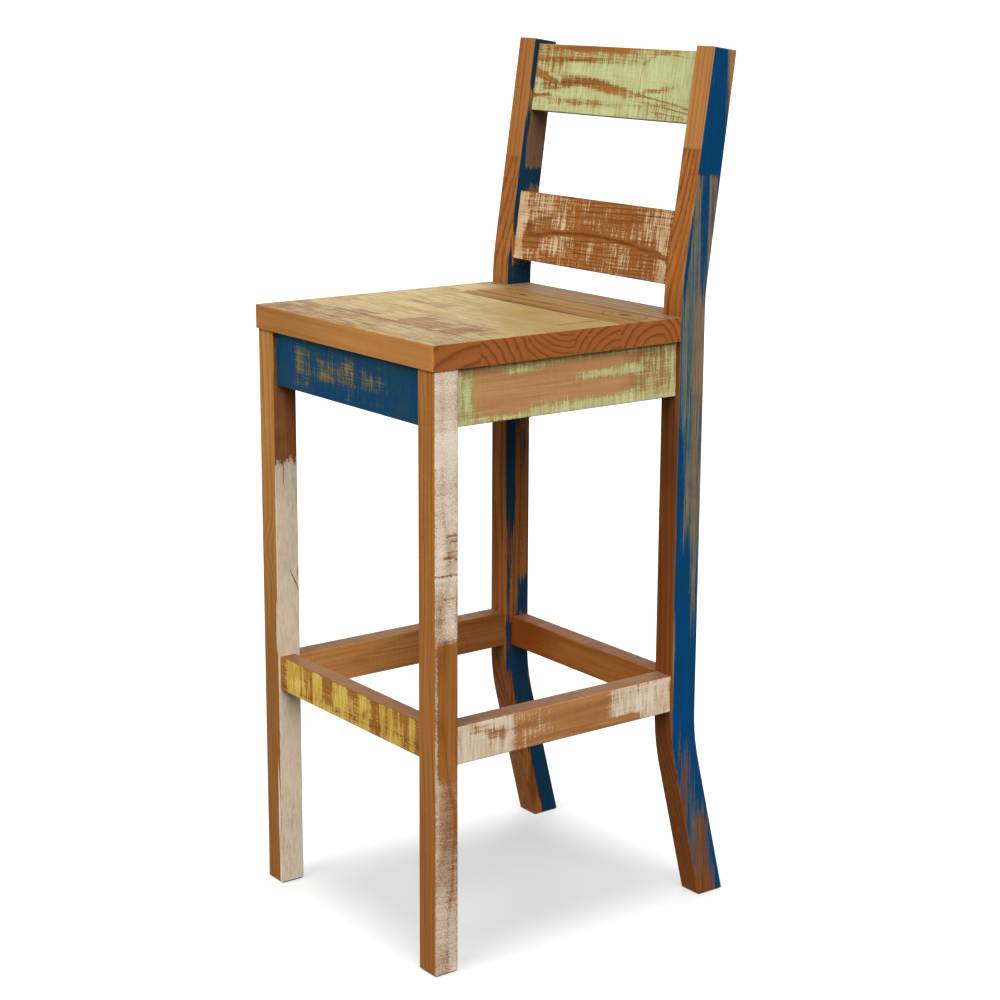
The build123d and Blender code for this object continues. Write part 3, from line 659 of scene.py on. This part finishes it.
apronLeft = {
    "node": "left_apron", "along": "y", "seed": 7.0,
    "wood": {"heart": (0.01, 0.07), "contrast": 0.4},
    "coats": [
        {
            "face": "-x", "seed": 7.2, **yellowPaint, "cover": 0.95, "strokes": boardStrokes,
            "patches": [
                patch(0.5, 0.45, 0.3, 0.3, 0.1),
                patch(0.9, 0.6, 0.08, 0.5, 0.4),
                patch(0.12, 0.5, 0.04, 0.4, 0.5),
            ],
        },
    ],
}
apronRear = {
    "node": "rear_apron", "along": "x", "seed": 8.0,
    "wood": {"heart": (0.0, -0.07), "contrast": 0.45},
    "coats": [
        {
            "face": "+y", "seed": 8.2, **creamPaint, "cover": 0.95, "strokes": boardStrokes,
            "patches": [
                patch(0.3, 0.5, 0.2, 0.4, 0.1),
                patch(0.75, 0.4, 0.15, 0.3, 0.35),
                patch(0.55, 0.6, 0.05, 0.4, 0.6),
            ],
        },
    ],
}
for apron in (apronFront, apronRight, apronLeft, apronRear):
    dressPiece(apron)
print("aprons dressed")

# low stretchers, the front one is the footrest
stretcherFront = {
    "node": "front_stretcher", "along": "x", "seed": 9.0,
    "wood": {"light": tone(160, 108, 50), "dark": tone(98, 58, 18), "amber": tone(140, 88, 34)},
    "coats": [
        {
            "face": "-y", "seed": 9.2, **yellowPaint, "cover": 1.05, "strokes": levelStrokes,
            "soft": 0.22, "patches": [
                patch(0.02, 0.5, 0.03, 0.9, 0.2),
                patch(0.16, 0.5, 0.012, 0.7, 0.6, 0.6),
                patch(0.21, 0.45, 0.03, 0.8, 0.5),
                patch(0.235, 0.5, 0.008, 0.9, 0.2),
                patch(0.35, 0.65, 0.04, 0.4, 0.1),
                patch(0.54, 0.5, 0.04, 0.9, 0.42),
                patch(0.69, 0.45, 0.035, 0.8, 0.2),
                patch(0.765, 0.5, 0.02, 0.6, 0.5, 0.6),
                patch(0.84, 0.6, 0.03, 0.4, 0.45, 0.6),
                patch(0.9, 0.5, 0.03, 0.8, 0.25),
                patch(0.985, 0.5, 0.025, 0.9, 0.0),
                patch(0.44, 0.18, 0.05, 0.1, 0.6, 0.6),
                patch(0.62, 0.48, 0.02, 0.1, 0.55, 0.6),
            ],
        },
        {**treadWearAndSheenTop, "seed": 9.4, "strokes": levelStrokes},
    ],
}
stretcherRight = {
    "node": "right_stretcher", "along": "y", "seed": 10.0,
    "wood": {
        "heart": (0.0, -0.07), "contrast": 0.35, "light": tone(184, 130, 80), "dark": tone(130, 80, 40),
        "amber": tone(160, 104, 58),
    },
    "coats": [
        {
            "face": "+x", "seed": 10.2, **creamPaint, "cover": -0.3, "strokes": levelStrokes,
            "soft": 0.22, "patches": [
                patch(0.28, 0.5, 0.04, 0.8, 0.35, 0.8),
                patch(0.12, 0.5, 0.135, 1.2, 1.15, 0.08),
                patch(0.1, 0.8, 0.05, 0.12, 0.5, 0.7, slope=-1.0),
                patch(0.17, 0.6, 0.05, 0.16, 0.62, 0.7, slope=-1.2),
                patch(0.36, 0.6, 0.1, 0.5, 0.28, 0.8),
                patch(0.87, 0.64, 0.17, 0.46, 0.95, 0.2),
                patch(0.77, 0.06, 0.13, 0.16, -0.2, 0.4),
                patch(0.95, 0.3, 0.1, 0.5, 1.0, 0.3),
            ],
        },
        {
            **treadWearAndSheenTop, "seed": 10.4, "paint": tone(122, 94, 76), "paintTwo": tone(104, 76, 54), "cover": 0.9,
            "strokes": uprightStrokes,
        },
    ],
}
stretcherLeft = {
    "node": "left_stretcher", "along": "y", "seed": 11.0,
    "wood": {
        "heart": (0.0, -0.07), "contrast": 0.3, "light": tone(204, 146, 84), "amber": tone(178, 118, 62),
        # painted shade: the stretcher darkens towards its rear end, in the back-left corner
        "paintedShadeAndToneBands": [(1.1, 0.9, 0.7)],
    },
    "coats": [
        {
            "face": "-x", "seed": 11.2, **greenPaint, "cover": 0.8, "strokes": boardStrokes,
            "patches": [patch(0.45, 0.5, 0.25, 0.6, 0.0), patch(0.85, 0.4, 0.06, 0.5, 0.45)],
        },
        {**treadWearAndSheenTop, "seed": 11.4, "strokes": uprightStrokes},
    ],
}
stretcherRear = {
    "node": "rear_stretcher", "along": "x", "seed": 12.0,
    "wood": {
        "heart": (0.0, -0.07), "contrast": 0.3, "light": tone(164, 104, 46), "dark": tone(102, 54, 16),
        # painted shade: the stretcher darkens towards its left end, in the back-left corner
        "amber": tone(142, 80, 28), "darkBandTone": tone(110, 44, 4), "paintedShadeAndToneBands": [(-0.1, 0.55, 0.7)],
    },
    "coats": [
        {
            "face": "+y", "seed": 12.2, **bluePaint, "cover": 0.9, "strokes": boardStrokes,
            "patches": [patch(0.6, 0.5, 0.2, 0.6, 0.1), patch(0.15, 0.6, 0.06, 0.5, 0.45)],
        },
        {**treadWearAndSheenTop, "seed": 12.4, "strokes": levelStrokes},
    ],
}
for stretcher in (stretcherFront, stretcherRight, stretcherLeft, stretcherRear):
    dressPiece(stretcher)
print("stretchers dressed")

# back slats
slatUpper = {
    "node": "upper_back_slat", "along": "x", "shape": "slat", "seed": 13.0,
    "wood": {
        "heart": (0.0, 0.03), "lean": 0.05, "ring": 0.011, "light": tone(166, 112, 58),
        "dark": tone(112, 66, 28),
    },
    "coats": [
        {
            "face": "-y", "seed": 13.2, "paint": tone(188, 194, 142), "paintTwo": tone(172, 174, 120),
            "cover": 1.05, "strokes": levelStrokes, "ringPull": 0.1, "soft": 0.22,
            "edgeTone": tone(146, 122, 62), "patches": [
                patch(0.1, 0.7, 0.13, 0.3, 0.76, 0.8),
                patch(0.36, 0.87, 0.28, 0.1, 0.62, 0.6),
                patch(0.34, 1.0, 0.3, 0.09, 0.05),
                patch(0.1, 0.84, 0.1, 0.13, 0.42, 0.7),
                patch(0.22, 0.8, 0.18, 0.035, 0.3, 0.8),
                patch(0.07, 0.53, 0.08, 0.06, 0.1, 0.6, slope=-1.2),
                patch(0.1, 0.43, 0.05, 0.07, 0.35, 0.7),
                patch(0.22, 0.46, 0.05, 0.06, 0.1, 0.6, rounded=True),
                patch(0.43, 0.45, 0.22, 0.08, 0.2, 0.6, slope=-0.42, rounded=True),
                patch(0.74, 0.42, 0.13, 0.035, 0.45, 0.7, slope=0.5),
                patch(0.8, 0.3, 0.18, 0.018, 0.15, 0.6, slope=-0.5),
                patch(0.84, 0.21, 0.15, 0.016, 0.2, 0.6, slope=-0.45),
                patch(0.76, 0.16, 0.12, 0.014, 0.25, 0.6, slope=-0.3),
                patch(0.28, 0.2, 0.24, 0.05, 0.5, 0.7),
                patch(0.8, 0.18, 0.17, 0.16, 0.74, 0.7),
                patch(0.05, 0.26, 0.06, 0.025, 0.3, 0.7, slope=0.3),
                patch(0.8, 0.95, 0.08, 0.03, 0.35, 0.7),
                patch(0.72, 0.87, 0.02, 0.1, 0.5, 0.7, lean=0.4),
            ],
        },
        {
            "face": "-y", "seed": 13.3, "paint": tone(146, 112, 56), "paintTwo": tone(120, 88, 40),
            "cover": -0.6, "strokes": boardStrokes, "soft": 0.35, "rag": 0.003, "edgeWear": 0.0, "patches": [
                patch(0.8, 0.31, 0.2, 0.013, 0.72, 0.6, slope=-0.42, bend=-0.6),
                patch(0.83, 0.22, 0.17, 0.012, 0.72, 0.6, slope=-0.36, bend=-0.6),
                patch(0.84, 0.13, 0.15, 0.011, 0.68, 0.6, slope=-0.3, bend=-0.5),
                patch(0.09, 0.5, 0.1, 0.013, 0.75, 0.6, slope=-0.9),
                patch(0.1, 0.36, 0.09, 0.012, 0.7, 0.6, slope=0.4, bend=-3.0),
            ],
        },
        {
            "face": "+y", "seed": 13.6, **yellowPaint, "cover": 0.2, "strokes": boardStrokes,
            "patches": [patch(0.3, 0.6, 0.25, 0.4, 0.85), patch(0.8, 0.3, 0.15, 0.3, 0.7)],
        },
    ],
}
slatLower = {
    "node": "lower_back_slat", "along": "x", "shape": "slat", "seed": 14.0,
    "wood": {
        "heart": (0.01, 0.03), "lean": 0.05, "ring": 0.0036, "contrast": 0.62, "light": tone(156, 100, 48),
        "dark": tone(98, 54, 20), "amber": tone(134, 80, 32),
    },
    "coats": [
        {
            "face": "-y", "seed": 14.1, "paint": tone(110, 60, 24), "paintTwo": tone(92, 48, 18),
            "cover": -0.6, "strokes": boardStrokes, "soft": 0.35, "rag": 0.003, "edgeWear": 0.0, "patches": [
                patch(0.5, 0.52, 0.47, 0.026, 0.95, 0.6, bend=-0.77),
                patch(0.4, 0.37, 0.27, 0.018, 0.75, 0.6, bend=-1.1),
                patch(0.35, 0.26, 0.18, 0.016, 0.75, 0.6, bend=-1.6),
                patch(0.6, 0.66, 0.35, 0.014, 0.6, 0.7, bend=-0.5),
            ],
        },
        {
            "face": "-y", "seed": 14.2, "paint": tone(204, 180, 144), "paintTwo": tone(184, 150, 108),
            "cover": 0.1, "strokes": levelStrokes, "soft": 0.24, "bite": 3.8, "patches": [
                patch(0.18, 0.8, 0.15, 0.25, 0.5),
                patch(0.25, 0.33, 0.075, 0.12, 0.66, 0.7),
                patch(0.36, 0.34, 0.028, 0.16, 0.56, 0.7),
                patch(0.305, 0.6, 0.012, 0.5, 0.62, 0.6),
                patch(0.1, 0.1, 0.08, 0.1, 0.4, 0.6),
                patch(0.51, 0.36, 0.02, 0.16, 0.36, 0.9),
                patch(0.58, 0.36, 0.02, 0.14, 0.32, 0.9),
                patch(0.64, 0.37, 0.022, 0.2, 0.42, 0.9),
                patch(0.71, 0.37, 0.022, 0.2, 0.42, 0.9),
                patch(0.86, 0.75, 0.08, 0.22, 0.45, 0.6),
                patch(0.935, 0.55, 0.03, 0.6, 0.74),
                patch(0.5, 0.52, 0.47, 0.04, -0.4, 0.5, bend=-0.77),
                patch(0.11, 0.33, 0.05, 0.1, -0.4),
                patch(0.015, 0.5, 0.04, 1.2, 1.0, 0.7),
            ],
        },
        {
            "face": "+y", "seed": 14.6, **creamPaint, "cover": 0.2, "strokes": boardStrokes,
            "patches": [patch(0.65, 0.5, 0.3, 0.5, 0.85)],
        },
    ],
}
for slat in (slatUpper, slatLower):
    dressPiece(slat)
print("back slats dressed")

# seat boards: straw paint worn through to an older mauve coat, two rear boards bare, dark lines along the
# seams that are dirt and painted shade of the gaps
seatTop = {"face": "+z", "strokes": boardStrokes, "area": {"x": (-0.1965, 0.1965), "y": (-0.2345, 0.1735)}}
seatMauve = {
    **seatTop, "seedStep": 0.1, "patches": (), "paint": tone(146, 113, 84), "paintTwo": tone(114, 80, 54),
    "soft": 0.3, "edgeWear": 0.9,
}
seatStraw = {
    **seatTop, "seedStep": 0.2, "paint": tone(176, 160, 118), "paintTwo": tone(158, 135, 86), "soft": 0.1,
    "bite": 3.6, "patches": [
        patch(0.3, 0.09, 0.26, 0.07, 0.36, 0.7),
        patch(0.2, 0.05, 0.15, 0.03, 0.4, 0.7, slope=0.2),
        patch(0.45, 0.06, 0.12, 0.03, 0.42, 0.7, slope=0.4),
        patch(0.76, 0.08, 0.22, 0.06, 0.72, 0.7),
        patch(0.34, 0.19, 0.06, 0.03, 0.4, 0.6),
        patch(0.57, 0.23, 0.04, 0.07, 0.12),
        patch(0.68, 0.225, 0.06, 0.065, 0.18),
        patch(0.82, 0.23, 0.05, 0.07, 0.12),
        patch(0.905, 0.24, 0.02, 0.03, 0.5),
        patch(0.36, 0.465, 0.05, 0.03, 0.4, 0.7),
        patch(0.27, 0.445, 0.05, 0.015, 0.4, 0.7),
        patch(0.75, 0.44, 0.07, 0.02, 0.6, 0.7),
        patch(0.12, 0.62, 0.14, 0.03, 0.75, 0.8),
        patch(0.04, 0.78, 0.13, 0.11, 1.0, 0.6),
    ],
}
seatGold = {
    **seatTop, "seedStep": 0.3, "paint": tone(162, 136, 82), "paintTwo": tone(148, 118, 66), "cover": -0.5,
    "soft": 0.3, "patches": [
        patch(0.76, 0.58, 0.3, 0.12, 1.0, 0.7),
        patch(0.93, 0.42, 0.12, 0.1, 0.9, 0.7),
        patch(0.75, 0.44, 0.1, 0.04, 0.7, 0.7),
        patch(0.4, 0.35, 0.3, 0.03, 0.45, 0.8),
    ],
}
# dark lines along the seams between boards: dirt and painted shade of the gaps
seatSeamDirtAndShade = {
    **seatTop, "seedStep": 0.4, "paint": tone(104, 72, 38), "paintTwo": tone(80, 52, 24), "cover": -0.6,
    "soft": 0.25, "rag": 0.003, "edgeWear": 0.0, "patches": [
        patch(0.5, 0.164, 0.6, 0.007, 0.55, 0.7),
        patch(0.5, 0.331, 0.6, 0.004, 0.25, 0.7),
        patch(0.5, 0.502, 0.6, 0.004, 0.3, 0.7),
        patch(0.54, 0.681, 0.35, 0.011, 1.0, 0.6),
        patch(0.9, 0.59, 0.009, 0.1, 0.8, 0.6),
        patch(0.55, 0.841, 0.5, 0.005, 0.4, 0.7),
    ],
}
golden = {
    "light": tone(188, 134, 74), "dark": tone(148, 96, 46), "amber": tone(172, 116, 58), "contrast": 0.35,
}
tanBoard = {
    "light": tone(160, 124, 74), "dark": tone(98, 66, 32), "amber": tone(140, 102, 56), "contrast": 0.7,
    "knots": [(0.1415, 0.018, 0.014), (-0.07, 0.02, 0.009)],
}
greyBoard = {
    "light": tone(148, 120, 84), "dark": tone(88, 62, 36), "amber": tone(128, 96, 56), "contrast": 0.75,
}
endWood = {"endLight": tone(162, 96, 48), "endDark": tone(112, 56, 24), "sway": 0.006, "lean": 0.004}
seatPlan = [
    {"node": "seat_board_1", "seed": 15.0, "straw": 0.4, "mauve": 1.3, "wood": {
        # darker towards the left end
        **golden, "heart": (0.041, -0.146), "ring": 0.018, "darkBandTone": tone(132, 80, 36),
        "paintedShadeAndToneBands": [(-0.1, 0.7, 0.4)],
    }},
    {"node": "seat_board_2", "seed": 16.0, "straw": 0.84, "mauve": 1.3, "wood": {
        **golden, "heart": (-0.055, -0.035), "ring": 0.011,
    }},
    {"node": "seat_board_3", "seed": 17.0, "straw": 0.92, "mauve": 1.3, "wood": {
        **golden, "heart": (0.027, 0.06), "ring": 0.0075,
    }},
    {"node": "seat_board_4", "seed": 18.0, "straw": 0.94, "mauve": 1.3, "wood": {
        **golden, "heart": (0.035, -0.048), "ring": 0.01,
    }},
    {"node": "seat_board_5", "seed": 19.0, "straw": -0.5, "wood": {
        **tanBoard, "heart": (0.0245, -0.033), "ring": 0.012,
    }},
    {"node": "seat_board_6", "seed": 20.0, "straw": -0.5, "wood": {
        **greyBoard, "heart": (-0.05, -0.02), "ring": 0.009,
    }},
]
seatMargin = 0.01  # room left round a patch before it is taken off a board


# only the patches that reach a board are drawn on it
def onBoard(coat, node):
    low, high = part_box(node)
    front, rear = seatTop["area"]["y"]
    lowV, highV = ((edge - front) / (rear - front) for edge in (low.y, high.y))
    kept = []
    for one in coat["patches"]:
        grow = (one["tall"] + abs(one["slope"]) * one["wide"]) * (1 + one["soft"]) + seatMargin
        if lowV - grow < one["v"] < highV + grow:
            kept.append(one)
    return {**coat, "patches": kept}


for board in seatPlan:
    name, seed = board["node"], board["seed"]
    laid = [{**seatStraw, "cover": board["straw"]}, seatSeamDirtAndShade]
    if "mauve" in board:
        laid.insert(0, {**seatMauve, "cover": board["mauve"]})
        laid.insert(2, seatGold)
    coats = [{**onBoard(coat, name), "seed": seed + coat["seedStep"]} for coat in laid]
    wood = {**endWood, **board["wood"]}
    dressPiece({"node": name, "along": "x", "seed": seed, "wood": wood, "coats": coats})
print("seat boards dressed")

# hidden pieces: corner blocks and dowels in plain wood, screws in zinc
hidden = {"wood": {}, "coats": ()}
hiddenSeeds = {"block": 20.0, "dowel": 31.0}
zinc = {
    "light": tone(196, 192, 176), "dark": tone(150, 150, 146), "rough": 0.22, "roughSpots": 0.25,
    "spots": (420.0, 420.0, 420.0), "shift": (0.3, 0.7, 0.1),
}


def dressScrews(name):
    material, tree = newFinish(name + "_zinc")
    shader = tree.nodes["Principled BSDF"]
    source = tree.nodes.new("ShaderNodeTexCoord")
    spots = noiseField(tree, source.outputs["Object"], zinc["spots"], zinc["shift"])
    plug(tree, shader.inputs["Base Color"], blendColor(tree, spots, zinc["light"], zinc["dark"]))
    rough = calc(tree, "MULTIPLY_ADD", spots, zinc["roughSpots"], zinc["rough"])
    plug(tree, shader.inputs["Roughness"], rough)
    shader.inputs["Metallic"].default_value = 1.0
    putOn(name, material)


for name in nodes:
    if name.endswith("screws"):
        dressScrews(name)
    elif name.startswith("corner_block"):
        dressPiece({**hidden, "node": name, "along": "x", "seed": hiddenSeeds["block"] + len(name)})
    elif name.endswith("dowels"):
        along = "y" if "side" in name or "seat" in name else "x"
        dressPiece({**hidden, "node": name, "along": along, "seed": hiddenSeeds["dowel"]})
print("hidden pieces dressed")

# white studio floor and surroundings; the floor keeps the object's shadow in its matte part, and its glow is
# dimmed in a rounded square between the feet, a painted shadow
studio = {
    "floor": 400.0, "floorTone": 0.26, "bounce": 0.08, "glowWithPaintedShadow": 0.39, "ambient": 0.1,
    "paintedShadowHalves": (0.22, 0.255), "paintedShadowRound": 0.06, "fade": (-0.12, 0.09),
}


def whiteRays(tree):
    path = tree.nodes.new("ShaderNodeLightPath")
    seen = calc(tree, "MAXIMUM", path.outputs["Is Camera Ray"], path.outputs["Is Glossy Ray"])
    return calc(tree, "MAXIMUM", seen, path.outputs["Is Transmission Ray"])


reach = studio["floor"]
corners = [(-reach, -reach, 0), (reach, -reach, 0), (reach, reach, 0), (-reach, reach, 0)]
floorMesh = bpy.data.meshes.new("studioFloor")
floorMesh.from_pydata(corners, [], [(0, 1, 2, 3)])
floor = bpy.data.objects.new("studioFloor", floorMesh)
scene.collection.objects.link(floor)
floorPaint, floorTree = newFinish("studioFloorPaint")
floorTree.nodes.clear()
seenWhite = whiteRays(floorTree)
matte = floorTree.nodes.new("ShaderNodeBsdfDiffuse")
brighter = studio["floorTone"] - studio["bounce"]
plug(floorTree, matte.inputs["Color"], calc(floorTree, "MULTIPLY_ADD", seenWhite, brighter, studio["bounce"]))
# painted shadow: the glow drops inside a rounded square between the feet
floorPlace = floorTree.nodes.new("ShaderNodeTexCoord")
offX, offY, _ = apart(floorTree, vecCalc(floorTree, "ABSOLUTE", floorPlace.outputs["Object"]))
past = [calc(floorTree, "SUBTRACT", off, half) for off, half in zip((offX, offY), studio["paintedShadowHalves"])]
outsidePaintedShadow = calc(floorTree, "SMOOTH_MAX", *past, studio["paintedShadowRound"])
glowWithPaintedShadow = floorTree.nodes.new("ShaderNodeEmission")
level = smooth(floorTree, outsidePaintedShadow, *studio["fade"], studio["glowWithPaintedShadow"], 1.0)
plug(floorTree, glowWithPaintedShadow.inputs["Strength"], calc(floorTree, "MULTIPLY", seenWhite, level))
both = floorTree.nodes.new("ShaderNodeAddShader")
plug(floorTree, both.inputs[0], matte.outputs[0])
plug(floorTree, both.inputs[1], glowWithPaintedShadow.outputs[0])
floorOut = floorTree.nodes.new("ShaderNodeOutputMaterial")
plug(floorTree, floorOut.inputs[0], both.outputs[0])
floorMesh.materials.append(floorPaint)

world = bpy.data.worlds.new("studioWorld")
scene.world = world
world.use_nodes = True
worldTree = world.node_tree
backdrop = worldTree.nodes["Background"]
backdrop.inputs["Color"].default_value = (1.0, 1.0, 1.0, 1.0)
brightness = smooth(worldTree, whiteRays(worldTree), 0.0, 1.0, studio["ambient"], 1.0)
plug(worldTree, backdrop.inputs["Strength"], brightness)


# the way out from the stool, by degrees round from the front and up from level
def outward(azimuth, rise):
    turn, lift = math.radians(azimuth), math.radians(rise)
    return Vector((math.sin(turn) * math.cos(lift), -math.cos(turn) * math.cos(lift), math.sin(lift)))


# three wide soft lights: front, right and behind on the left
lamps = [
    {"name": "frontLight", "azimuth": 8.0, "rise": 40.0, "width": 42.0, "level": 0.9, "shine": True},
    {"name": "rightLight", "azimuth": 76.0, "rise": 38.0, "width": 42.0, "level": 0.9, "shine": True},
    {"name": "rearLeftLight", "azimuth": 225.0, "rise": 14.0, "width": 42.0, "level": 1.1, "shine": False},
]
for lamp in lamps:
    light = bpy.data.lights.new(lamp["name"], "SUN")
    light.angle = math.radians(lamp["width"])
    light.energy = lamp["level"] * math.pi
    holder = bpy.data.objects.new(lamp["name"], light)
    holder.visible_glossy = lamp["shine"]
    scene.collection.objects.link(holder)
    way = outward(lamp["azimuth"], lamp["rise"])
    holder.rotation_euler = (-way).to_track_quat("-Z", "Y").to_euler()
print("studio lit")

# camera fitted to the stool's edges: degrees, metres, millimetres of lens and sensor
eye = {
    "azimuth": 53.2734, "pitch": 13.4222, "roll": 0.305, "spot": (2.24275, -1.66576, 1.19258),
    "lens": 80.5643, "sensor": 36.0,
}
turn, roll = math.radians(eye["azimuth"]), math.radians(eye["roll"])
backward = outward(eye["azimuth"], eye["pitch"])
rightward = Vector((math.cos(turn), math.sin(turn), 0.0))
upward = backward.cross(rightward)
tilted = rightward * math.cos(roll) + upward * math.sin(roll)
upright = upward * math.cos(roll) - rightward * math.sin(roll)
cameraData = bpy.data.cameras.new("photoCamera")
cameraData.sensor_width = eye["sensor"]
cameraData.lens = eye["lens"]
camera = bpy.data.objects.new("photoCamera", cameraData)
scene.collection.objects.link(camera)
pose = Matrix((tilted, upright, backward)).transposed().to_4x4()
pose.translation = Vector(eye["spot"])
camera.matrix_world = pose
scene.camera = camera

print("stool dressed and framed")
